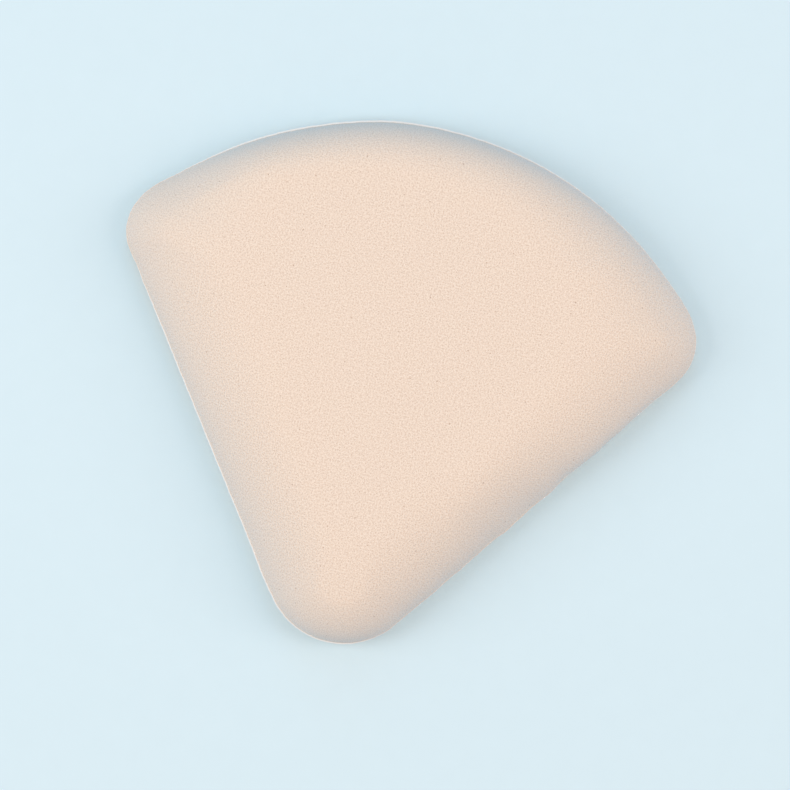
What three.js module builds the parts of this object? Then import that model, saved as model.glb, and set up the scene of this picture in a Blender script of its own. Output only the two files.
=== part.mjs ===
// Fan-shaped powder puff, in millimetres.
// A fine-pored face skin is formed as a dome over a soft foam core and closed by a flat back sheet.
// Skin, liner, bond film and back sheet are pressed together at a thin rim and trimmed along one line.
// A satin finger ribbon runs across the back and is fused to it at both ends.
// +Z points up through the face, +Y from the tip to the wide front arc.
// The puff lies on its ribbon at z = 0, with the origin under the middle of its box.
import * as THREE from "three";

// Outline of the trimmed rim, seen from above
const fanLength = 65.6;
const sideAngleDegrees = 35.8;
const tipRadius = 9.3;
const cornerRadius = 8.2;
const frontRadius = 47;

// Dome of the face, measured on the outside of the skin
const rimWidth = 0.5;
const rollWidth = 9;
const shoulderRise = 8.1;
const crownRise = 0.4;
const crownFromTip = 38;

// Thickness of each layer
const skinThickness = 1.4;
const rimThickness = 0.6;
const linerThickness = 0.2;
const bondThickness = 0.2;
const backThickness = 0.8;
const ribbonThickness = 0.4;

// Finger ribbon
const ribbonWidth = 16;
const ribbonFromTip = 35;

// Clearances: the glue line between layers, and the sharpest corner that an inner ring may have
const glueLine = 0.1;
const leastRadius = 2;

// Steps along each stretch of the outline and of the dome
const tipSteps = 12;
const sideSteps = 4;
const cornerSteps = 10;
const frontSteps = 12;
const rollSteps = 6;
const crownSteps = 4;
const ribbonEndSteps = 6;

// Levels of the stack, from the table up
const backLevel = ribbonThickness + glueLine;
const bondLevel = backLevel + backThickness + glueLine;
const coreLevel = bondLevel + bondThickness + glueLine;
const skinLevel = coreLevel + linerThickness + glueLine;

// The two sides meet in a sharp point below the round tip
const sideAngle = THREE.MathUtils.degToRad(sideAngleDegrees);
const sidesCross = tipRadius - tipRadius / Math.sin(sideAngle);
const frontCentre = new THREE.Vector2(0, fanLength - frontRadius);
const sideNormal = new THREE.Vector2(Math.cos(sideAngle), -Math.sin(sideAngle));
const sideRun = new THREE.Vector2(Math.sin(sideAngle), Math.cos(sideAngle));

// Centre of the round outer corner on the right: it touches the inset side and the inset front arc.
function cornerCentre(inset, radius) {
  const start = new THREE.Vector2(0, sidesCross).addScaledVector(sideNormal, -(inset + radius));
  const fromFront = start.clone().sub(frontCentre);
  const reach = frontRadius - inset - radius;
  const along = fromFront.dot(sideRun);
  const run = Math.sqrt(along ** 2 - fromFront.lengthSq() + reach ** 2) - along;
  return start.addScaledVector(sideRun, run);
}

// Points of an arc, without its last one.
function arcPoints(centre, radius, fromAngle, toAngle, steps) {
  return Array.from({ length: steps }, (_, step) => {
    const angle = THREE.MathUtils.lerp(fromAngle, toAngle, step / steps);
    return new THREE.Vector2(Math.cos(angle), Math.sin(angle)).multiplyScalar(radius).add(centre);
  });
}

// Points of a straight stretch, without its last one.
function linePoints(from, to, steps) {
  return Array.from({ length: steps }, (_, step) => from.clone().lerp(to, step / steps));
}

// The fan, drawn in by an inset, counter-clockwise from the foot of its right side.
// Every inset gives the same number of points, so that rings can be joined point by point.
function fanOutline(inset) {
  const tip = Math.max(tipRadius - inset, leastRadius);
  const corner = Math.max(cornerRadius - inset, leastRadius);
  const front = frontRadius - inset;
  const tipCentre = new THREE.Vector2(0, sidesCross + (inset + tip) / Math.sin(sideAngle));
  const rightCorner = cornerCentre(inset, corner);
  const leftCorner = new THREE.Vector2(-rightCorner.x, rightCorner.y);
  const normalAngle = -sideAngle;
  const frontAngle = rightCorner.clone().sub(frontCentre).angle();
  const sideFoot = tipCentre.clone().addScaledVector(sideNormal, tip);
  const sideHead = rightCorner.clone().addScaledVector(sideNormal, corner);
  const mirrored = (point) => new THREE.Vector2(-point.x, point.y);
  return [
    ...linePoints(sideFoot, sideHead, sideSteps),
    ...arcPoints(rightCorner, corner, normalAngle, frontAngle, cornerSteps),
    ...arcPoints(frontCentre, front, frontAngle, Math.PI - frontAngle, frontSteps),
    ...arcPoints(leftCorner, corner, Math.PI - frontAngle, Math.PI - normalAngle, cornerSteps),
    ...linePoints(mirrored(sideHead), mirrored(sideFoot), sideSteps),
    ...arcPoints(tipCentre, tip, Math.PI - normalAngle, 2 * Math.PI + normalAngle, tipSteps),
  ];
}

function ringAt(inset, height) {
  return fanOutline(inset).map((point) => new THREE.Vector3(point.x, point.y, height));
}

// Rings of a dome that lies a depth below the outside of the face, from its foot to its crown.
// The edge rolls over as a quarter ellipse, and the crown leaves it level and swells softly towards the middle.
function domeRings(depth, footLevel) {
  const rings = [];
  for (let step = 0; step <= rollSteps; step += 1) {
    const turn = (step / rollSteps) * (Math.PI / 2);
    const outward = new THREE.Vector2(Math.cos(turn) / rollWidth, Math.sin(turn) / shoulderRise).normalize();
    const inset = rimWidth + rollWidth * (1 - Math.cos(turn)) + depth * outward.x;
    rings.push(ringAt(inset, footLevel + shoulderRise * Math.sin(turn) - depth * outward.y));
  }
  const shoulder = rings[rings.length - 1];
  const middle = domeMiddle(depth, footLevel);
  for (let step = 1; step < crownSteps; step += 1) {
    const share = 1 - step / crownSteps;
    const rise = crownRise * (1 - share ** 2) ** 2;
    rings.push(shoulder.map((point) => {
      const drawnIn = middle.clone().lerp(point, share);
      return drawnIn.setZ(point.z + rise);
    }));
  }
  return rings;
}

function domeMiddle(depth, footLevel) {
  return new THREE.Vector3(0, crownFromTip, footLevel + shoulderRise + crownRise - depth);
}

// A closed body through a row of rings, with a fan of triangles to a middle point at either end.
function loft(rings, firstMiddle, lastMiddle) {
  const count = rings[0].length;
  const points = [...rings.flat(), firstMiddle, lastMiddle];
  const firstIndex = points.length - 2;
  const lastIndex = points.length - 1;
  const lastRing = (rings.length - 1) * count;
  const triangles = [];
  for (let here = 0; here < count; here += 1) {
    const next = (here + 1) % count;
    triangles.push(firstIndex, next, here);
    for (let ring = 0; ring < lastRing; ring += count) {
      triangles.push(ring + here, ring + next, ring + count + next);
      triangles.push(ring + here, ring + count + next, ring + count + here);
    }
    triangles.push(lastRing + here, lastRing + next, lastIndex);
  }
  const geometry = new THREE.BufferGeometry().setFromPoints(points);
  geometry.setIndex(triangles);
  geometry.computeVertexNormals();
  return geometry;
}

// A domed shell: from the crown of its inside down to its foot, out round its rim and back up its outside.
function domedShell(depth, thickness, footLevel, rimRings) {
  const inside = domeRings(depth + thickness, footLevel);
  const outside = domeRings(depth, footLevel);
  const insideFoot = ringAt(rimWidth + depth + thickness, 0);
  const rings = [...inside.reverse(), insideFoot, ...rimRings, ...outside];
  return loft(rings, domeMiddle(depth + thickness, footLevel), domeMiddle(depth, footLevel));
}

// The skin's dome stands on a rim that is pressed thin.
function faceSkin() {
  const rim = [ringAt(0, 0), ringAt(0, rimThickness)];
  return domedShell(0, skinThickness, rimThickness, rim);
}

// The liner lies behind the skin and comes out under its rim, so its wall first climbs past that rim.
function linerFilm() {
  const depth = skinThickness + glueLine;
  const footLevel = linerThickness + glueLine + rimThickness;
  const rim = [ringAt(0, 0), ringAt(0, linerThickness), ringAt(rimWidth + depth, linerThickness)];
  return domedShell(depth, linerThickness, footLevel, rim);
}

// The foam pad fills the liner: flat below, with drawn-in sides and a crown above.
function foamCore() {
  const depth = skinThickness + linerThickness + 2 * glueLine;
  const footLevel = skinLevel + rimThickness - coreLevel;
  const rings = [ringAt(rimWidth + depth, 0), ...domeRings(depth, footLevel)];
  const bottomMiddle = new THREE.Vector3(0, crownFromTip, 0);
  return loft(rings, bottomMiddle, domeMiddle(depth, footLevel));
}

// A flat sheet of the trimmed outline.
function flatSheet(thickness) {
  const outline = new THREE.Shape(fanOutline(0));
  return new THREE.ExtrudeGeometry(outline, { depth: thickness, bevelEnabled: false });
}

// Half the fan's width at a distance from the tip, on the straight side or on the round corner above it.
function halfWidthAt(fromTip) {
  const corner = cornerCentre(0, cornerRadius);
  const sideHead = corner.clone().addScaledVector(sideNormal, cornerRadius);
  if (fromTip <= sideHead.y) {
    return (fromTip - sidesCross) * Math.tan(sideAngle);
  }
  return corner.x + Math.sqrt(cornerRadius ** 2 - (fromTip - corner.y) ** 2);
}

// The ribbon is a straight band whose ends are trimmed with the rim.
function fingerRibbon() {
  const rightEnd = Array.from({ length: ribbonEndSteps + 1 }, (_, step) => {
    const fromTip = ribbonFromTip + ribbonWidth * (step / ribbonEndSteps - 0.5);
    return new THREE.Vector2(halfWidthAt(fromTip), fromTip);
  });
  const leftEnd = rightEnd.map((point) => new THREE.Vector2(-point.x, point.y)).reverse();
  const band = new THREE.Shape([...rightEnd, ...leftEnd]);
  return new THREE.ExtrudeGeometry(band, { depth: ribbonThickness, bevelEnabled: false });
}

function piece(name, geometry, level, color, roughness) {
  const material = new THREE.MeshStandardMaterial({ color, roughness, metalness: 0 });
  const mesh = new THREE.Mesh(geometry, material);
  mesh.name = name;
  mesh.position.z = level;
  return mesh;
}

const puff = new THREE.Group();
puff.position.y = -fanLength / 2;
puff.add(
  piece("face_skin", faceSkin(), skinLevel, "#f0dcc9", 0.95),
  piece("liner_film", linerFilm(), coreLevel, "#ece6da", 0.45),
  piece("foam_core", foamCore(), coreLevel, "#f4ead6", 1),
  piece("bond_film", flatSheet(bondThickness), bondLevel, "#e9dfc6", 0.5),
  piece("back_sheet", flatSheet(backThickness), backLevel, "#f3eee6", 0.9),
  piece("finger_ribbon", fingerRibbon(), 0, "#efdccb", 0.4),
);

const part = new THREE.Group();
part.add(puff);

export default part;
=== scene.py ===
"""The looks of a fan-shaped powder puff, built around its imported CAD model.

Lengths are in metres, in the frame of the CAD model: +X across the fan, +Y from its tip to its front arc
and +Z out of its face. The puff lies on its back, as in the photograph, with the finger ribbon under it.
"""
import math
from collections import namedtuple

import bpy
import numpy as np
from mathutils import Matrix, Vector, noise


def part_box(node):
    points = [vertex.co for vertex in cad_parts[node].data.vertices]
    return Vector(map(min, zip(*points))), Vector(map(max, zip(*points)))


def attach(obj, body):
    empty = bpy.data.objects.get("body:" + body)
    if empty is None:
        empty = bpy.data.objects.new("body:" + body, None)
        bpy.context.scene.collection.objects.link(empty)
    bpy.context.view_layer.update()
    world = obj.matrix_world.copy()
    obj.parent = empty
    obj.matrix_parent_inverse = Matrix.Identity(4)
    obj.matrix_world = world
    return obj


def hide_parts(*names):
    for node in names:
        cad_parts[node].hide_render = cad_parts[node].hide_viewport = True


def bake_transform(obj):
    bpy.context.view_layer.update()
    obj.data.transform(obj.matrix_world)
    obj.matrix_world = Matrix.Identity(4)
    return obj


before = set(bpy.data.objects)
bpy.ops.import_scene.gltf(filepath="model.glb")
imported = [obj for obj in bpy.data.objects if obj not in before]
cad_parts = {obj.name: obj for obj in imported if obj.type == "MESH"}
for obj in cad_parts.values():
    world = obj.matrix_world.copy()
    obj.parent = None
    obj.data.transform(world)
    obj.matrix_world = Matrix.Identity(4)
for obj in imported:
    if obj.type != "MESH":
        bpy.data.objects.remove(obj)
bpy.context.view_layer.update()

MM = 0.001

# Lowest and highest corners of the CAD's layers
SKIN_LOW, SKIN_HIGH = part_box("face_skin")
LINER_LOW, LINER_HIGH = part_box("liner_film")
CORE_LOW, CORE_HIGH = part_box("foam_core")
BOND_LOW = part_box("bond_film")[0]
BACK_LOW, BACK_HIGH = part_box("back_sheet")
RIBBON_LOW, RIBBON_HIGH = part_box("finger_ribbon")

# Outline of the trimmed rim, as the CAD has it; its two sides would cross below the round tip
SIDE_ANGLE = math.radians(35.8)
TIP_RADIUS = 9.3 * MM
CORNER_RADIUS = 8.2 * MM
FRONT_RADIUS = 47 * MM
TIP_Y = BACK_LOW.y
SIDES_CROSS = TIP_Y + TIP_RADIUS - TIP_RADIUS / math.sin(SIDE_ANGLE)
FRONT_CENTRE = BACK_HIGH.y - FRONT_RADIUS

# Thicknesses of the layers and their depths below the face; glue fills all but a hair's breadth between them
RIM_THICKNESS = 0.6 * MM
RIM_TOP = SKIN_LOW.z + RIM_THICKNESS
SKIN_THICKNESS = 1.4 * MM
LINER_THICKNESS = 0.2 * MM
LINER_DEPTH = SKIN_HIGH.z - LINER_HIGH.z
CORE_DEPTH = SKIN_HIGH.z - CORE_HIGH.z
HAIR = 0.01 * MM

# Dome of the face: its edge rolls up from the rim, steep at first, and eases into a nearly flat top
CROWN_RISE = 0.4 * MM
CROWN_FROM_TIP = 38 * MM
CROWN_MIDDLE = Vector((0, TIP_Y + CROWN_FROM_TIP))
ROLL_RISE = SKIN_HIGH.z - RIM_TOP - CROWN_RISE
ROLL_EASE = 0.55

# The sharpest corner that a ring further in may have
LEAST_RADIUS = 4 * MM

# The rolled edge at places round the outline, as shares of its length from the tip, counter-clockwise.
# Roll: how far the edge takes to ease into the top. Steep: how much of the height its foot climbs at once.
# Swell: how far the foot leans out over the rim or, below 0, in from it. Rim: how much of the rim shows.
Edge = namedtuple("Edge", "share roll steep swell rim")
TIP = (11.2 * MM, 0.43, -0.35 * MM, 0.18 * MM)
LOWER_RIGHT = (11.5 * MM, 0.47, -0.8 * MM, 0.03 * MM)
MIDDLE_RIGHT = (9.5 * MM, 0.35, -1.2 * MM, 0.03 * MM)
UPPER_RIGHT = (10.5 * MM, 0.38, 0.6 * MM, 0.03 * MM)
RIGHT_CORNER = (12.6 * MM, 0.3, -0.75 * MM, 0.03 * MM)
FRONT_RIGHT = (10 * MM, 0.5, -0.6 * MM, 0.06 * MM)
FRONT = (7 * MM, 0.64, -0.38 * MM, 0.17 * MM)
FRONT_LEFT = (6.2 * MM, 0.57, -0.33 * MM, 0.22 * MM)
LEFT_CORNER = (12.5 * MM, 0.27, -0.95 * MM, 0.03 * MM)
UPPER_LEFT = (13 * MM, 0.33, -0.55 * MM, 0.17 * MM)
MIDDLE_LEFT = (11 * MM, 0.3, -0.55 * MM, 0.17 * MM)
LOWER_LEFT = (10.4 * MM, 0.28, -0.8 * MM, 0.18 * MM)
EDGES = (
    Edge(0.00, *TIP),
    Edge(0.05, *LOWER_RIGHT),
    Edge(0.09, *LOWER_RIGHT),
    Edge(0.14, *MIDDLE_RIGHT),
    Edge(0.21, *UPPER_RIGHT),
    Edge(0.28, *RIGHT_CORNER),
    Edge(0.31, *RIGHT_CORNER),
    Edge(0.37, *FRONT_RIGHT),
    Edge(0.47, *FRONT),
    Edge(0.53, *FRONT_LEFT),
    Edge(0.61, *FRONT_LEFT),
    Edge(0.69, *LEFT_CORNER),
    Edge(0.72, *LEFT_CORNER),
    Edge(0.78, *UPPER_LEFT),
    Edge(0.86, *MIDDLE_LEFT),
    Edge(0.94, *LOWER_LEFT),
    Edge(1.00, *TIP),
)

# Hand trimming: where along the outline, how far it spreads, and how proud it stands or how short it is cut
Bump = namedtuple("Bump", "share spread proud")
TRIM = (
    Bump(0.01, 0.045, -0.35 * MM),
    Bump(0.14, 0.01, 0.1 * MM),
    Bump(0.185, 0.01, -0.15 * MM),
    Bump(0.19, 0.04, 0.15 * MM),
    Bump(0.29, 0.02, 0.55 * MM),
    Bump(0.45, 0.085, 0.35 * MM),
    Bump(0.53, 0.04, 0.3 * MM),
    Bump(0.665, 0.04, -0.3 * MM),
    Bump(0.71, 0.025, 0.6 * MM),
    Bump(0.735, 0.01, -0.25 * MM),
    Bump(0.92, 0.14, 0.25 * MM),
    Bump(0.945, 0.02, 0.2 * MM),
)
TRIM_DEPTH = 8 * MM

# The right side is less crisply pressed: it waves, with short waves on long ones that fade out up the edge
WAVY = Bump(0.15, 0.08, 0.12 * MM)
WAVE_LENGTH = 6.5 * MM
LONG_WAVES, SHORT_WAVES = 0.6, 0.4
SHORT_WAVES_PER_LONG = 1.7
SHORT_WAVES_START = 1
WAVE_FADE = 2

# The cut edge is ragged, with a fine fray on a coarse one that ends close above the rim
RAGGED = 0.04 * MM
RAGGED_SIZE = 1.1 * MM
FINE_FRAY = 0.6
FINE_FRAYS_PER_COARSE = 3.1
RAGGED_FADE = 8

# The face is a little uneven, as a soft pad is
UNEVEN = 0.06 * MM
UNEVEN_SIZE = 11 * MM

# The press flattens a border all round the back, in which the ends of the ribbon lie
BORDER_WIDTH = 2.2 * MM
BORDER_SLOPE = 0.5 * MM
BORDER_DEPTH = 0.16 * MM

# Points round the outline, of the pieces that show and of the hidden ones
FINE_COUNT = 600
PLAIN_COUNT = 240


def smooth_step(low, high, value):
    """0 before low, 1 after high, and a soft rise between them."""
    share = np.clip((value - low) / (high - low), 0, 1)
    return share * share * (3 - 2 * share)


def bezier(controls, step):
    """Value and rate of change of a cubic curve at a step, from its four control values."""
    a, b, c, d = controls
    rest = 1 - step
    value = rest**3 * a + 3 * rest**2 * step * b + 3 * rest * step**2 * c + step**3 * d
    run = 3 * rest**2 * (b - a) + 6 * rest * step * (c - b) + 3 * step**2 * (d - c)
    return value, run


def along_edge(share, quality):
    """One quality of the rolled edge at shares of the outline, passing softly from place to place."""
    places = np.array([edge.share for edge in EDGES])
    values = np.array([getattr(edge, quality) for edge in EDGES])
    here = np.searchsorted(places, share, side="right") - 1
    step = smooth_step(places[here], places[here + 1], share)
    return values[here] + step * (values[here + 1] - values[here])


def fray(point):
    """How far the ragged cut stands out at a point, or in."""
    place = Vector((point[0], point[1], 0)) / RAGGED_SIZE
    return RAGGED * (noise.noise(place) + FINE_FRAY * noise.noise(FINE_FRAYS_PER_COARSE * place))


def fan_corners(inset):
    """Radius and centre of the drawn-in fan's tip and right corner, and the angle where its arc starts."""
    tip = np.maximum(TIP_RADIUS - inset, LEAST_RADIUS)
    corner = np.maximum(CORNER_RADIUS - inset, LEAST_RADIUS)
    tip_y = SIDES_CROSS + (inset + tip) / math.sin(SIDE_ANGLE)
    start_x = -(inset + corner) * math.cos(SIDE_ANGLE)
    start_y = SIDES_CROSS + (inset + corner) * math.sin(SIDE_ANGLE)
    along = start_x * math.sin(SIDE_ANGLE) + (start_y - FRONT_CENTRE) * math.cos(SIDE_ANGLE)
    gap = start_x**2 + (start_y - FRONT_CENTRE) ** 2
    reach = FRONT_RADIUS - inset - corner
    run = np.sqrt(along**2 - gap + reach**2) - along
    corner_x = start_x + run * math.sin(SIDE_ANGLE)
    corner_y = start_y + run * math.cos(SIDE_ANGLE)
    front_angle = np.arctan2(corner_y - FRONT_CENTRE, corner_x)
    return tip, tip_y, corner, corner_x, corner_y, front_angle


class Fan:
    """Points round the fan's outline, with its hand trimming, and the rings that the pieces are made of."""

    def __init__(self, count):
        self.count = count
        self.share = np.arange(count) / count
        self.left = self.share > 0.5
        self.place_points()
        self.roll, self.steep, self.swell, self.rim = (
            along_edge(self.share, quality) for quality in Edge._fields[1:]
        )
        self.outline, angle = self.fan_at(0)
        self.normals = np.column_stack([np.cos(angle), np.sin(angle)])
        self.proud = sum(self.bump_out(bump) for bump in TRIM)
        self.wave = self.bump_out(WAVY) * self.waves()
        self.ragged = np.array([fray(point) for point in self.outline])

    def place_points(self):
        """Finds the stretch that each point is on (tip, side, corner or front), and how far along it."""
        tip, tip_y, corner, corner_x, corner_y, front_angle = fan_corners(0)
        apart = math.hypot(corner_x, corner_y - tip_y)
        spans = np.array([
            tip * (math.pi / 2 - SIDE_ANGLE),
            math.sqrt(apart**2 - (tip - corner) ** 2),
            corner * (front_angle + SIDE_ANGLE),
            FRONT_RADIUS * (math.pi / 2 - front_angle),
        ])
        ends = np.cumsum(spans)
        self.length = 2 * ends[-1]
        along = np.where(self.left, 1 - self.share, self.share) * self.length
        self.stretch = np.minimum(np.searchsorted(ends, along, side="right"), len(spans) - 1)
        self.local = (along - ends[self.stretch] + spans[self.stretch]) / spans[self.stretch]

    def fan_at(self, inset):
        """Points of the fan drawn in by an inset, one for all or one for each, and the angles they face."""
        inset = np.broadcast_to(inset, self.count)
        tip, tip_y, corner, corner_x, corner_y, front_angle = fan_corners(inset)
        across, down = math.cos(SIDE_ANGLE), math.sin(SIDE_ANGLE)
        tip_angle = -math.pi / 2 + self.local * (math.pi / 2 - SIDE_ANGLE)
        side_angle = np.full(self.count, -SIDE_ANGLE)
        corner_angle = -SIDE_ANGLE + self.local * (front_angle + SIDE_ANGLE)
        arc_angle = front_angle + self.local * (math.pi / 2 - front_angle)
        front = FRONT_RADIUS - inset
        x = np.choose(self.stretch, [
            tip * np.cos(tip_angle),
            tip * across + self.local * (corner_x + (corner - tip) * across),
            corner_x + corner * np.cos(corner_angle),
            front * np.cos(arc_angle),
        ])
        y = np.choose(self.stretch, [
            tip_y + tip * np.sin(tip_angle),
            tip_y - tip * down + self.local * (corner_y - tip_y - (corner - tip) * down),
            corner_y + corner * np.sin(corner_angle),
            FRONT_CENTRE + front * np.sin(arc_angle),
        ])
        angle = np.choose(self.stretch, [tip_angle, side_angle, corner_angle, arc_angle])
        plan = np.column_stack([np.where(self.left, -x, x), y])
        return plan, np.where(self.left, math.pi - angle, angle)

    def bump_out(self, bump):
        """How proud one soft bump stands at each point."""
        away = (self.share - bump.share + 0.5) % 1 - 0.5
        return bump.proud * np.exp(-((away / bump.spread) ** 2))

    def waves(self):
        """Long and short waves along the outline, between about -1 and 1."""
        long_turn = 2 * math.pi * self.share * self.length / WAVE_LENGTH
        short_turn = SHORT_WAVES_PER_LONG * long_turn + SHORT_WAVES_START
        return LONG_WAVES * np.sin(long_turn) + SHORT_WAVES * np.sin(short_turn)

    def ring(self, inset, height, wave=0.0, ragged=0.0):
        """A ring of points, drawn in by an inset, at a height; hand trimming fades towards the middle."""
        fade = np.clip(1 - np.broadcast_to(inset, self.count) / TRIM_DEPTH, 0, 1)
        out = fade * self.proud + self.wave * wave + self.ragged * ragged
        plan = self.fan_at(inset)[0] + out[:, None] * self.normals
        return np.column_stack([plan, np.broadcast_to(height, self.count)])

    def wall(self, depth, step):
        """A ring of the dome's edge, a depth below the outside, at a step from foot (0) to shoulder (1)."""
        shoulder = self.rim + self.roll
        level = np.full(self.count, ROLL_RISE)
        inward = [self.rim, self.rim - self.swell, shoulder - ROLL_EASE * self.roll, shoulder]
        upward = [0 * level, self.steep * level, level, level]
        inset, inset_run = bezier(inward, step)
        height, height_run = bezier(upward, step)
        size = np.hypot(inset_run, height_run)
        inset = inset + depth * height_run / size
        height = RIM_TOP + height - depth * inset_run / size
        to_go = 1 - step
        return self.ring(inset, height, wave=to_go**WAVE_FADE, ragged=to_go**RAGGED_FADE)

    def dome(self, depth, wall_steps, crown_steps):
        """Rings of a dome from its foot to just short of its middle."""
        rings = [self.wall(depth, step) for step in np.linspace(0, 1, wall_steps + 1)]
        return rings + self.drawn_in(rings[-1], crown_steps, CROWN_RISE)

    def drawn_in(self, edge, steps, rise=0.0):
        """Rings from an edge towards the middle, which leave the edge level and swell up by a rise."""
        middle = np.array([*CROWN_MIDDLE, 0])
        rings = []
        for share in np.linspace(1, 0, steps + 1)[1:-1]:
            ring = middle + share * (edge - middle)
            ring[:, 2] = edge[:, 2] + rise * (1 - share**2) ** 2
            rings.append(ring)
        return rings


def new_object(name, points, faces):
    """A mesh object in the scene, from its points and faces."""
    mesh = bpy.data.meshes.new(name)
    mesh.from_pydata(points.tolist(), [], faces)
    item = bpy.data.objects.new(name, mesh)
    bpy.context.scene.collection.objects.link(item)
    return item


def quads_between(ring_count, count):
    """Faces between each ring and the next, where every ring has the same count of points."""
    here = np.arange(count)
    after = (here + 1) % count
    faces = []
    for low in range(0, (ring_count - 1) * count, count):
        high = low + count
        faces += np.column_stack([low + here, low + after, high + after, high + here]).tolist()
    return faces


def closed_body(name, rings):
    """A closed mesh through a row of rings, whose first and last ring close on the fan's middle."""
    count = len(rings[0])
    middles = [[*CROWN_MIDDLE, ring[:, 2].mean()] for ring in (rings[0], rings[-1])]
    points = np.vstack([*rings, *middles])
    last = (len(rings) - 1) * count
    first_middle, last_middle = len(points) - 2, len(points) - 1
    pairs = [(here, (here + 1) % count) for here in range(count)]
    faces = quads_between(len(rings), count)
    faces += [[first_middle, after, here] for here, after in pairs]
    faces += [[last_middle, last + here, last + after] for here, after in pairs]
    piece = new_object(name, points, faces)
    piece.data.shade_smooth()
    return piece


def uneven(piece, lowest):
    """Lifts and sinks the face a little, as a soft pad does, more the higher a point lies over the lowest."""
    highest = max(vertex.co.z for vertex in piece.data.vertices)
    for vertex in piece.data.vertices:
        if vertex.co.z > lowest:
            share = (vertex.co.z - lowest) / (highest - lowest)
            vertex.co.z += UNEVEN * share * noise.noise(vertex.co / UNEVEN_SIZE)


def mark_points(item, name, values):
    """Writes a value for each point, which a material finds by its name."""
    marks = item.data.attributes.new(name, "FLOAT", "POINT")
    marks.data.foreach_set("value", np.asarray(values, np.float32))


def mark_flat_sheet(piece, fan, rings, foot, shoulder):
    """Writes where each point lay in the flat sheet: the rings from foot to shoulder are folded out level."""
    flat = np.array([vertex.co for vertex in piece.data.vertices], np.float32)
    flat[:, 2] = 0
    longer = np.zeros(fan.count)
    for step in range(shoulder - 1, foot - 1, -1):
        run = rings[step] - rings[step + 1]
        longer += np.linalg.norm(run, axis=1) - np.linalg.norm(run[:, :2], axis=1)
        flat[step * fan.count : (step + 1) * fan.count, :2] += longer[:, None] * fan.normals
    marks = piece.data.attributes.new("flat_sheet", "FLOAT_VECTOR", "POINT")
    marks.data.foreach_set("vector", flat.ravel())


def make_face_skin(fan):
    """The fine-pored skin: a dome with a thin, pale, slightly ragged rim, and its hollow inside."""
    inside_wall, inside_crown = 10, 10
    outside_wall, outside_crown = 26, 30
    soft_edge = 0.06 * MM
    inside = fan.dome(SKIN_THICKNESS, inside_wall, inside_crown)[::-1]
    inside.append(fan.ring(fan.rim + SKIN_THICKNESS, SKIN_LOW.z))

    # Insets and heights of the rim's section, from under its edge to just short of the dome's foot
    section = (
        (soft_edge, SKIN_LOW.z),
        (0, SKIN_LOW.z + soft_edge),
        (0, RIM_TOP - 2 * soft_edge),
        (0.2 * fan.rim, RIM_TOP - 0.5 * soft_edge),
        (0.5 * fan.rim, RIM_TOP),
        (0.8 * fan.rim, RIM_TOP),
    )
    rim = [fan.ring(inset, height, wave=1, ragged=1) for inset, height in section]
    outside = fan.dome(0, outside_wall, outside_crown)
    rings = inside + rim + outside
    piece = closed_body("puff_face", rings)
    foot = len(inside)
    mark_flat_sheet(piece, fan, rings, foot, foot + len(rim) + outside_wall)
    rim_marks = [0] * len(inside) + [1] * len(rim) + [0] * len(outside)
    middle_marks = [0, 0]
    mark_points(piece, "pressed_rim", np.append(np.repeat(rim_marks, fan.count), middle_marks))
    uneven(piece, RIM_TOP)
    return piece


def make_liner_film(fan):
    """The thin film behind the skin, with its own flat rim."""
    wall_steps, crown_steps = 12, 5
    inside = fan.dome(LINER_DEPTH + LINER_THICKNESS, wall_steps, crown_steps)[::-1]
    outside = fan.dome(LINER_DEPTH, wall_steps, crown_steps)
    foot = fan.rim + LINER_DEPTH
    top = SKIN_LOW.z - HAIR
    rim = [
        fan.ring(foot + LINER_THICKNESS, LINER_LOW.z),
        fan.ring(0, LINER_LOW.z, ragged=1),
        fan.ring(0, top, ragged=1),
        fan.ring(foot, top),
    ]
    return closed_body("liner_film_sheet", inside + rim + outside)


def make_foam_core(fan):
    """The soft foam pad: flat below, with drawn-in sides and a crown above."""
    wall_steps, crown_steps, below_steps = 16, 14, 8
    low = fan.ring(fan.rim + CORE_DEPTH, CORE_LOW.z)
    below = fan.drawn_in(low, below_steps)[::-1]
    return closed_body("foam_pad", below + [low] + fan.dome(CORE_DEPTH, wall_steps, crown_steps))


def make_bond_film(fan):
    """The melted film between the core and the back."""
    steps = 6
    low = fan.ring(0, BOND_LOW.z, ragged=1)
    high = fan.ring(0, LINER_LOW.z - HAIR, ragged=1)
    rings = fan.drawn_in(low, steps)[::-1] + [low, high] + fan.drawn_in(high, steps)
    return closed_body("bond_film_sheet", rings)


def make_back_sheet(fan):
    """The pale back, with its pressed border and a soft edge."""
    steps = 10
    soft_edge = 0.08 * MM
    low_border = BACK_LOW.z + BORDER_DEPTH
    top = BOND_LOW.z - HAIR
    below = fan.ring(BORDER_WIDTH + BORDER_SLOPE, BACK_LOW.z)
    outer = [
        fan.ring(BORDER_WIDTH + 0.5 * BORDER_SLOPE, BACK_LOW.z + 0.5 * BORDER_DEPTH),
        fan.ring(BORDER_WIDTH, low_border),
        fan.ring(1.5 * soft_edge, low_border, ragged=1),
        fan.ring(0, low_border + soft_edge, ragged=1),
        fan.ring(0, top - soft_edge, ragged=1),
        fan.ring(soft_edge, top, ragged=1),
    ]
    rings = fan.drawn_in(below, steps)[::-1] + [below] + outer + fan.drawn_in(outer[-1], steps)
    return closed_body("back_panel", rings)


def half_width(fan, y):
    """Half the fan's width on its right side at a height y, from its outline."""
    right = fan.outline[: fan.count // 2]
    return np.interp(y, right[:, 1], right[:, 0])


def under_then_top(values):
    """A value for each point of the ribbon, from a grid: row by row, its underside and then its top."""
    return np.concatenate([values, values[:, ::-1]], axis=1).ravel()


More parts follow.
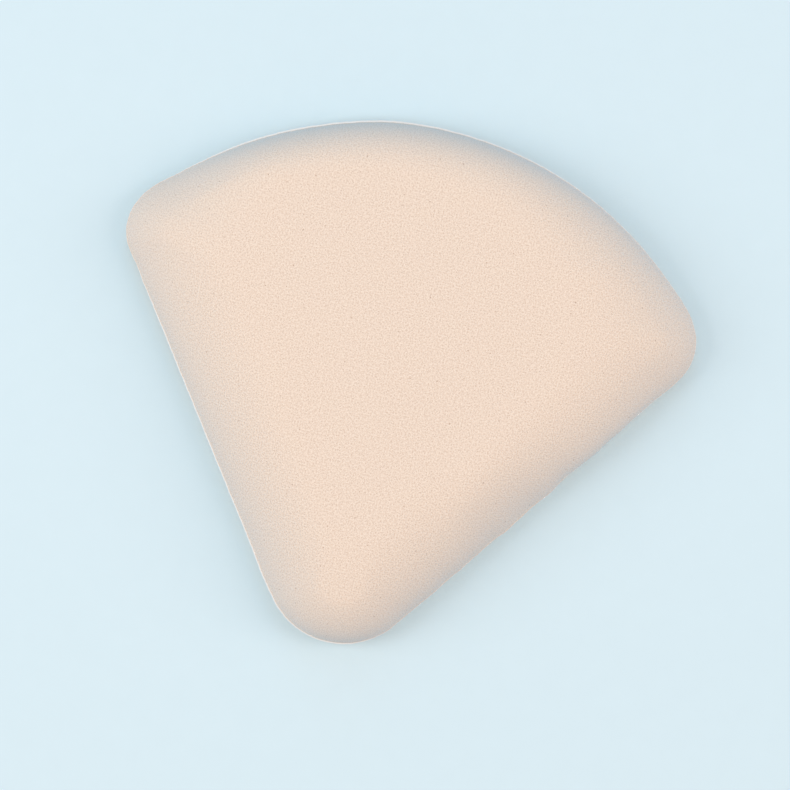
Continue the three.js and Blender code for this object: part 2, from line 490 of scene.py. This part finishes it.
def make_ribbon(fan):
    """The satin finger ribbon, and the share of its lift that each of its points takes.

    It is a thin band with a bead along each edge, and its ends are pressed into the border of the back.
    """
    along_steps, across_steps = 160, 28
    thickness = 0.3 * MM
    bead = 0.03 * MM
    bead_width = 0.7 * MM
    fused_from, fused_to = 1.6 * MM, 2.6 * MM
    fused_thinner = 0.45
    ripple = 0.02 * MM
    ripple_length = 23 * MM

    # A grid of points along and across the band, and its thickness and middle level at each
    share = np.linspace(-1, 1, along_steps + 1)
    across = np.linspace(RIBBON_LOW.y, RIBBON_HIGH.y, across_steps + 1)
    reach = half_width(fan, across)[None, :]
    x = share[:, None] * reach
    y = np.broadcast_to(across, x.shape)
    from_edge = np.minimum(across - RIBBON_LOW.y, RIBBON_HIGH.y - across)
    thick = thickness + 2 * bead * (1 - smooth_step(0, bead_width, from_edge))[None, :]
    from_end = (1 - np.abs(share))[:, None] * reach
    pressed = 1 - smooth_step(fused_from, fused_to, from_end)
    thick = thick * (1 - fused_thinner * pressed)
    flat = 0.5 * (RIBBON_LOW.z + RIBBON_HIGH.z)
    flat = flat + ripple * np.sin(2 * math.pi * x / ripple_length) * (1 - pressed)
    tucked = BACK_LOW.z + BORDER_DEPTH - 2 * HAIR - 0.5 * thick
    middle = flat + pressed * (tucked - flat)

    # Each row of the grid goes round the band, and the first and last row are closed by their ends
    top = np.stack([x, y, middle + 0.5 * thick], axis=-1)
    under = np.stack([x, y, middle - 0.5 * thick], axis=-1)
    rows = np.concatenate([under, top[:, ::-1]], axis=1)
    around = rows.shape[1]
    index = np.arange(rows.shape[0] * around).reshape(rows.shape[:2])
    turned = np.roll(index, -1, axis=1)
    faces = np.stack([index[:-1], index[1:], turned[1:], turned[:-1]], axis=-1).reshape(-1, 4).tolist()
    for row, flip in ((index[0], False), (index[-1], True)):
        for step in range(across_steps):
            quad = [row[step], row[step + 1], row[around - 2 - step], row[around - 1 - step]]
            faces.append(quad[::-1] if flip else quad)
    piece = new_object("satin_ribbon", rows.reshape(-1, 3), faces)
    piece.data.shade_smooth()
    mark_points(piece, "fused_end", under_then_top(pressed))

    # The lift grows from nothing at the fused ends and is level in the middle
    inward = np.clip((from_end - fused_to) / (reach - fused_to), 0, 1)
    return piece, under_then_top(1 - (1 - inward) ** 2)


def make_floor(fan):
    """A wide sheet with an opening, which is marked where it is open floor and not under the puff."""
    opening = 4 * MM
    clear = 1 * MM
    reach = 1.5
    under = fan.ring(opening, 0)
    edge = fan.ring(0, 0)
    past = edge.copy()
    past[:, :2] += clear * fan.normals
    far = edge.copy()
    far[:, :2] *= reach / np.hypot(edge[:, 0], edge[:, 1])[:, None]
    rings = [far, past, edge, under]
    sheet = new_object("floor", np.vstack(rings), quads_between(len(rings), fan.count))
    mark_points(sheet, "open_floor", np.repeat([1, 1, 0, 0], fan.count))
    return sheet


def colour(hex_code):
    """An sRGB hex colour as linear RGBA, by the standard's own curve."""
    parts = [int(hex_code[start : start + 2], 16) / 255 for start in (1, 3, 5)]
    linear = [part / 12.92 if part <= 0.04045 else ((part + 0.055) / 1.055) ** 2.4 for part in parts]
    return (*linear, 1)


def add(tree, kind, inputs=None, take=None, **settings):
    """Adds a node with its settings and its inputs, values or sockets; take names the output to give back."""
    node = tree.nodes.new(kind)
    for name, value in settings.items():
        setattr(node, name, value)
    for name, value in (inputs or {}).items():
        if isinstance(value, bpy.types.NodeSocket):
            tree.links.new(value, node.inputs[name])
        else:
            node.inputs[name].default_value = value
    return node.outputs[take] if take else node


def new_material(name):
    """An empty material and its nodes."""
    material = bpy.data.materials.new(name)
    material.use_nodes = True
    material.node_tree.nodes.clear()
    return material, material.node_tree


# A wave texture of scale 1 has this many bands in a length of 1
WAVES_PER_UNIT = 20 / (2 * math.pi)


def buffed_polyurethane():
    """Microporous polyurethane, set in water and buffed: matt and soft, all fine pores and few pin-holes."""
    material, tree = new_material("buffed_microporous_polyurethane")
    place = add(tree, "ShaderNodeAttribute", take="Vector", attribute_name="flat_sheet")
    pore_spacing = 0.33 * MM
    pore_painted_shade = 0.26
    grain_size = 0.19 * MM
    pin_hole_spacing = 2.9 * MM
    pin_hole_radius = 0.09 * MM
    mottle_size = 2.6 * MM

    # Pores: small dots darkened by painted shade, in a nap of fine grain
    cells = add(
        tree, "ShaderNodeTexVoronoi",
        {"Vector": place, "Scale": 1 / pore_spacing, "Randomness": 0.75}, "Distance",
        voronoi_dimensions="2D",
    )
    pore = add(
        tree, "ShaderNodeMapRange",
        {"Value": cells, "From Min": 0.05, "From Max": 0.37, "To Min": 1, "To Max": 0}, "Result",
        interpolation_type="SMOOTHSTEP",
    )
    nap = add(
        tree, "ShaderNodeTexNoise", {"Vector": place, "Scale": 1 / grain_size, "Detail": 0}, "Fac",
        noise_dimensions="2D",
    )
    grain = add(
        tree, "ShaderNodeMapRange", {"Value": nap, "From Min": 0.05, "From Max": 0.85}, "Result",
        interpolation_type="SMOOTHSTEP",
    )

    # Pin-holes: burst bubbles, deep in a few cells and faint or missing in the rest; their darkness is
    # painted shade
    spots = add(
        tree, "ShaderNodeTexVoronoi", {"Vector": place, "Scale": 1 / pin_hole_spacing},
        voronoi_dimensions="2D",
    )
    reach = pin_hole_radius / pin_hole_spacing
    spot = add(
        tree, "ShaderNodeMapRange",
        {"Value": spots.outputs["Distance"], "From Min": 0.4 * reach, "From Max": 1.3 * reach,
         "To Min": 1, "To Max": 0}, "Result",
        interpolation_type="SMOOTHSTEP",
    )
    chance = add(tree, "ShaderNodeSeparateColor", {"Color": spots.outputs["Color"]}, "Red")
    depth = add(tree, "ShaderNodeMapRange", {"Value": chance, "From Min": 0.45, "From Max": 1}, "Result")
    pin_hole = add(tree, "ShaderNodeMath", {0: spot, 1: depth}, "Value", operation="MULTIPLY")

    # Colour: a faint mottle on the ridges of the nap; darker hollows of the nap, partly its own grain tone
    # and partly painted shade; painted shade in the pores and pin-holes; and the pale rim
    mottle = add(tree, "ShaderNodeTexNoise", {"Vector": place, "Scale": 1 / mottle_size, "Detail": 2}, "Fac")
    ridge = add(
        tree, "ShaderNodeMix", {"Factor": mottle, "A": colour("#fae6d3"), "B": colour("#f9e4d3")}, "Result",
        data_type="RGBA",
    )
    # The nap's hollows are darker: partly its own grain tone, partly painted shade
    napped = add(
        tree, "ShaderNodeMix", {"Factor": grain, "A": colour("#e9d1be"), "B": ridge}, "Result",
        data_type="RGBA",
    )
    # Painted shade: each pore is darker towards its middle, where its hollow would lie in shade
    dark = add(tree, "ShaderNodeMath", {0: pore, 1: pore_painted_shade}, "Value", operation="MULTIPLY")
    pored = add(
        tree, "ShaderNodeMix", {"Factor": dark, "A": napped, "B": colour("#c9ab95")}, "Result",
        data_type="RGBA",
    )
    # Painted shade: the deep pin-holes are darker, as shade in a hole
    holed = add(
        tree, "ShaderNodeMix", {"Factor": pin_hole, "A": pored, "B": colour("#c2a48f")}, "Result",
        data_type="RGBA",
    )
    rim = add(tree, "ShaderNodeAttribute", take="Fac", attribute_name="pressed_rim")
    skin = add(
        tree, "ShaderNodeMix", {"Factor": rim, "A": holed, "B": colour("#f9f6f2")}, "Result",
        data_type="RGBA",
    )

    relief = add(tree, "ShaderNodeMath", {0: grain, 1: pore}, "Value", operation="SUBTRACT")
    relief = add(tree, "ShaderNodeMath", {0: relief, 1: pin_hole}, "Value", operation="SUBTRACT")
    bump = add(tree, "ShaderNodeBump", {"Height": relief, "Strength": 0.42, "Distance": 0.06 * MM}, "Normal")
    shader = add(tree, "ShaderNodeBsdfPrincipled", {
        "Base Color": skin, "Roughness": 0.92, "Specular IOR Level": 0.25,
        "Sheen Weight": 0.15, "Sheen Roughness": 0.5, "Normal": bump,
    }, "BSDF")
    add(tree, "ShaderNodeOutputMaterial", {"Surface": shader})
    return material


def brushed_knit():
    """Warp-knitted polyester, brushed: off-white, with fine rows of loops under a short, soft nap."""
    material, tree = new_material("brushed_polyester_knit")
    place = add(tree, "ShaderNodeTexCoord", take="Object")
    loop_width = 0.45 * MM
    course_height = 0.6 * MM
    loop_share = 0.5
    nap_size = 0.14 * MM
    cloud_size = 3 * MM
    columns = add(
        tree, "ShaderNodeTexWave",
        {"Vector": place, "Scale": 1 / loop_width / WAVES_PER_UNIT, "Distortion": 0.8, "Detail": 1}, "Fac",
        bands_direction="X",
    )
    courses = add(
        tree, "ShaderNodeTexWave",
        {"Vector": place, "Scale": 1 / course_height / WAVES_PER_UNIT, "Distortion": 0.8, "Detail": 1}, "Fac",
        bands_direction="Y",
    )
    loops = add(tree, "ShaderNodeMath", {0: columns, 1: courses}, "Value", operation="MULTIPLY")
    nap = add(tree, "ShaderNodeTexNoise", {"Vector": place, "Scale": 1 / nap_size, "Detail": 2}, "Fac")
    relief = add(
        tree, "ShaderNodeMath", {0: loops, 1: loop_share, 2: nap}, "Value", operation="MULTIPLY_ADD"
    )
    # Painted shade: the low parts between the loops and in the nap are darker; the cloud above is the
    # fabric's own uneven tone
    tone = add(tree, "ShaderNodeMapRange", {"Value": relief, "From Min": 0.35, "From Max": 1}, "Result")
    cloud = add(tree, "ShaderNodeTexNoise", {"Vector": place, "Scale": 1 / cloud_size, "Detail": 2}, "Fac")
    high = add(
        tree, "ShaderNodeMix", {"Factor": cloud, "A": colour("#f9f5ee"), "B": colour("#f5efe6")}, "Result",
        data_type="RGBA",
    )
    fabric = add(
        tree, "ShaderNodeMix", {"Factor": tone, "A": colour("#e9e1d6"), "B": high}, "Result",
        data_type="RGBA",
    )
    bump = add(tree, "ShaderNodeBump", {"Height": relief, "Strength": 0.5, "Distance": 0.08 * MM}, "Normal")
    shader = add(tree, "ShaderNodeBsdfPrincipled", {
        "Base Color": fabric, "Roughness": 0.95, "Specular IOR Level": 0.2,
        "Sheen Weight": 0.25, "Sheen Roughness": 0.5, "Normal": bump,
    }, "BSDF")
    add(tree, "ShaderNodeOutputMaterial", {"Surface": shader})
    return material


def satin_weave():
    """Polyester satin ribbon: long glossy floats along its length, and ends melted under a hatched tool."""
    material, tree = new_material("polyester_satin_weave")
    place = add(tree, "ShaderNodeTexCoord", take="Object")
    # Threads are about 0.1 mm apart, and are drawn twice as coarse so that they show
    thread_spacing = 0.2 * MM
    float_length = 1.3 * MM
    hatch_spacing = 0.8 * MM
    weave = add(tree, "ShaderNodeTexBrick", {
        "Vector": place, "Scale": 1 / thread_spacing,
        "Brick Width": float_length / thread_spacing, "Row Height": 1,
        "Mortar Size": 0.2, "Mortar Smooth": 1,
        "Color1": colour("#f5e5d7"), "Color2": colour("#efdccc"), "Mortar": colour("#e6d1bf"),
    }, offset=0.4)
    hatch = add(
        tree, "ShaderNodeTexWave", {"Vector": place, "Scale": 1 / hatch_spacing / WAVES_PER_UNIT}, "Fac",
        bands_direction="DIAGONAL",
    )
    fused = add(tree, "ShaderNodeAttribute", take="Fac", attribute_name="fused_end")
    melted = add(
        tree, "ShaderNodeMix",
        {"Factor": fused, "A": weave.outputs["Color"], "B": colour("#ead6c4")}, "Result",
        data_type="RGBA",
    )
    relief = add(
        tree, "ShaderNodeMix", {"Factor": fused, "A": weave.outputs["Fac"], "B": hatch}, "Result",
        data_type="FLOAT",
    )
    bump = add(
        tree, "ShaderNodeBump", {"Height": relief, "Strength": 0.3, "Distance": 0.03 * MM}, "Normal",
        invert=True,
    )
    shader = add(tree, "ShaderNodeBsdfPrincipled", {
        "Base Color": melted, "Roughness": 0.36, "Specular IOR Level": 0.5, "Anisotropic": 0.5,
        "Sheen Weight": 0.15, "Normal": bump,
    }, "BSDF")
    add(tree, "ShaderNodeOutputMaterial", {"Surface": shader})
    return material


def open_cell_foam():
    """Flexible polyurethane foam, cut from a block: cream, with open cells whose darker insides are painted
    shade.
    """
    material, tree = new_material("open_cell_polyurethane_foam")
    place = add(tree, "ShaderNodeTexCoord", take="Object")
    cell_size = 0.6 * MM
    cells = add(
        tree, "ShaderNodeTexVoronoi", {"Vector": place, "Scale": 1 / cell_size}, "Distance",
        feature="SMOOTH_F1",
    )
    strut = add(
        tree, "ShaderNodeMapRange", {"Value": cells, "From Min": 0.15, "From Max": 0.6}, "Result",
        interpolation_type="SMOOTHSTEP",
    )
    # Painted shade: the insides of the cells are darker than the struts around them
    tone = add(
        tree, "ShaderNodeMix", {"Factor": strut, "A": colour("#d3c3a4"), "B": colour("#f8efdc")}, "Result",
        data_type="RGBA",
    )
    bump = add(tree, "ShaderNodeBump", {"Height": strut, "Strength": 0.8, "Distance": 0.2 * MM}, "Normal")
    shader = add(
        tree, "ShaderNodeBsdfPrincipled", {"Base Color": tone, "Roughness": 1.0, "Normal": bump}, "BSDF"
    )
    add(tree, "ShaderNodeOutputMaterial", {"Surface": shader})
    return material


def milky_film(name, hex_code, shade_hex_code, flow_size, roughness):
    """Thin thermoplastic film: milky and half glossy, with the slow waves that heat leaves in it."""
    material, tree = new_material(name)
    place = add(tree, "ShaderNodeTexCoord", take="Object")
    flow = add(tree, "ShaderNodeTexNoise", {"Vector": place, "Scale": 1 / flow_size, "Detail": 3}, "Fac")
    tone = add(
        tree, "ShaderNodeMix", {"Factor": flow, "A": colour(hex_code), "B": colour(shade_hex_code)}, "Result",
        data_type="RGBA",
    )
    bump = add(tree, "ShaderNodeBump", {"Height": flow, "Strength": 0.3, "Distance": 0.1 * MM}, "Normal")
    shader = add(
        tree, "ShaderNodeBsdfPrincipled", {"Base Color": tone, "Roughness": roughness, "Normal": bump}, "BSDF"
    )
    add(tree, "ShaderNodeOutputMaterial", {"Surface": shader})
    return material


def painted_floor():
    """Painted board: pale to the eye and close by, while it throws a clear sky blue up onto the face."""
    material, tree = new_material("matt_painted_board")
    place = add(tree, "ShaderNodeTexCoord", take="Object")
    paint_grain = 3 * MM
    pale_within, blue_from = 3.5 * MM, 6 * MM
    path = add(tree, "ShaderNodeLightPath")
    bounced = path.outputs["Is Diffuse Ray"]
    distance = add(
        tree, "ShaderNodeMapRange",
        {"Value": path.outputs["Ray Length"], "From Min": pale_within, "From Max": blue_from}, "Result",
    )
    thrown = add(tree, "ShaderNodeMath", {0: bounced, 1: distance}, "Value", operation="MULTIPLY")
    grain = add(tree, "ShaderNodeTexNoise", {"Vector": place, "Scale": 1 / paint_grain, "Detail": 2}, "Fac")
    seen = add(
        tree, "ShaderNodeMix", {"Factor": grain, "A": colour("#dceef5"), "B": colour("#daecf3")}, "Result",
        data_type="RGBA",
    )
    paint = add(
        tree, "ShaderNodeMix", {"Factor": thrown, "A": seen, "B": colour("#5ac5ff")}, "Result",
        data_type="RGBA",
    )
    board = add(tree, "ShaderNodeBsdfDiffuse", {"Color": paint}, "BSDF")

    # Seen from below the board is clear, and under the puff it lets the light through to the back
    open_floor = add(tree, "ShaderNodeAttribute", take="Fac", attribute_name="open_floor")
    under = add(
        tree, "ShaderNodeMath", {0: bounced, 1: open_floor}, "Value", operation="SUBTRACT", use_clamp=True
    )
    behind = add(tree, "ShaderNodeNewGeometry", take="Backfacing")
    passed = add(tree, "ShaderNodeMath", {0: behind, 1: under}, "Value", operation="MAXIMUM")
    clear = add(tree, "ShaderNodeBsdfTransparent", take="BSDF")
    both = add(tree, "ShaderNodeMixShader", {0: passed, 1: board, 2: clear}, "Shader")
    add(tree, "ShaderNodeOutputMaterial", {"Surface": both})
    return material


# The pieces
fine_fan = Fan(FINE_COUNT)
plain_fan = Fan(PLAIN_COUNT)
face = make_face_skin(fine_fan)
liner = make_liner_film(plain_fan)
core = make_foam_core(plain_fan)
bond = make_bond_film(plain_fan)
back = make_back_sheet(fine_fan)
ribbon, ribbon_lift = make_ribbon(fine_fan)

face.data.materials.append(buffed_polyurethane())
liner.data.materials.append(milky_film("milky_polyurethane_film", "#f0ebe1", "#e5ded0", 4 * MM, 0.4))
core.data.materials.append(open_cell_foam())
bond.data.materials.append(milky_film("hot_melt_film", "#efe6cf", "#e2d6b8", 2 * MM, 0.5))
back.data.materials.append(brushed_knit())
ribbon.data.materials.append(satin_weave())

for piece, node in (
    (face, "face_skin"),
    (liner, "liner_film"),
    (core, "foam_core"),
    (bond, "bond_film"),
    (back, "back_sheet"),
):
    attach(piece, "pad")
    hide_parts(node)

# Both ends of the ribbon stay fused to the back, so its share of the lift grows from either end to the middle
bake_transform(ribbon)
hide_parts("finger_ribbon")

# Stage: a plain pale floor, open under the puff so that its back can be seen from below
floor = make_floor(plain_fan)
floor.data.materials.append(painted_floor())

# Camera: straight above, turned as in the photograph, with a long lens far off that sees all sides alike
PHOTO_PIXELS = 790
PIXELS_PER_METRE = 8.0 / MM
VIEW_TURN = math.radians(13.23)
VIEW_CENTRE = Vector((1.12 * MM, -0.59 * MM, RIM_TOP))
LENS_MM = 300
camera_data = bpy.data.cameras.new("camera")
camera_data.lens = LENS_MM
camera_height = PHOTO_PIXELS / PIXELS_PER_METRE * LENS_MM / camera_data.sensor_width
camera = bpy.data.objects.new("camera", camera_data)
camera.location = VIEW_CENTRE + Vector((0, 0, camera_height))
camera.rotation_euler = (0, 0, VIEW_TURN)
bpy.context.scene.collection.objects.link(camera)
bpy.context.scene.camera = camera

# Light: a white soft box on either side of the picture, a weak blue one at its top, and white all round
PICTURE_RIGHT = Vector((math.cos(VIEW_TURN), math.sin(VIEW_TURN), 0))
PICTURE_UP = Vector((-math.sin(VIEW_TURN), math.cos(VIEW_TURN), 0))
LAMP_HEIGHT = 0.4
LAMP_AWAY = 0.47
LAMP_WIDTH, LAMP_LENGTH = 0.3, 0.45
EVEN_COLOUR = "#fffbf8"
EVEN_STRENGTH = 0.63


def soft_box(name, right, up, power, hex_code):
    """A soft box at a place in the picture, turned to the puff."""
    data = bpy.data.lights.new(name, "AREA")
    data.shape = "RECTANGLE"
    data.size = LAMP_WIDTH
    data.size_y = LAMP_LENGTH
    data.energy = power
    data.color = colour(hex_code)[:3]
    lamp = bpy.data.objects.new(name, data)
    lamp.location = right * PICTURE_RIGHT + up * PICTURE_UP + Vector((0, 0, LAMP_HEIGHT))
    lamp.rotation_euler = (-lamp.location).to_track_quat("-Z", "Y").to_euler()
    bpy.context.scene.collection.objects.link(lamp)


soft_box("left_soft_box", right=-LAMP_AWAY, up=0, power=1.38, hex_code="#ffffff")
soft_box("right_soft_box", right=LAMP_AWAY, up=0, power=1.11, hex_code="#fff6f3")
soft_box("top_fill", right=0, up=LAMP_AWAY, power=0.38, hex_code="#40c8ff")

world = bpy.data.worlds.new("even_light")
bpy.context.scene.world = world
world.use_nodes = True
world.node_tree.nodes["Background"].inputs["Color"].default_value = colour(EVEN_COLOUR)
world.node_tree.nodes["Background"].inputs["Strength"].default_value = EVEN_STRENGTH

bpy.context.scene.view_settings.view_transform = "Standard"
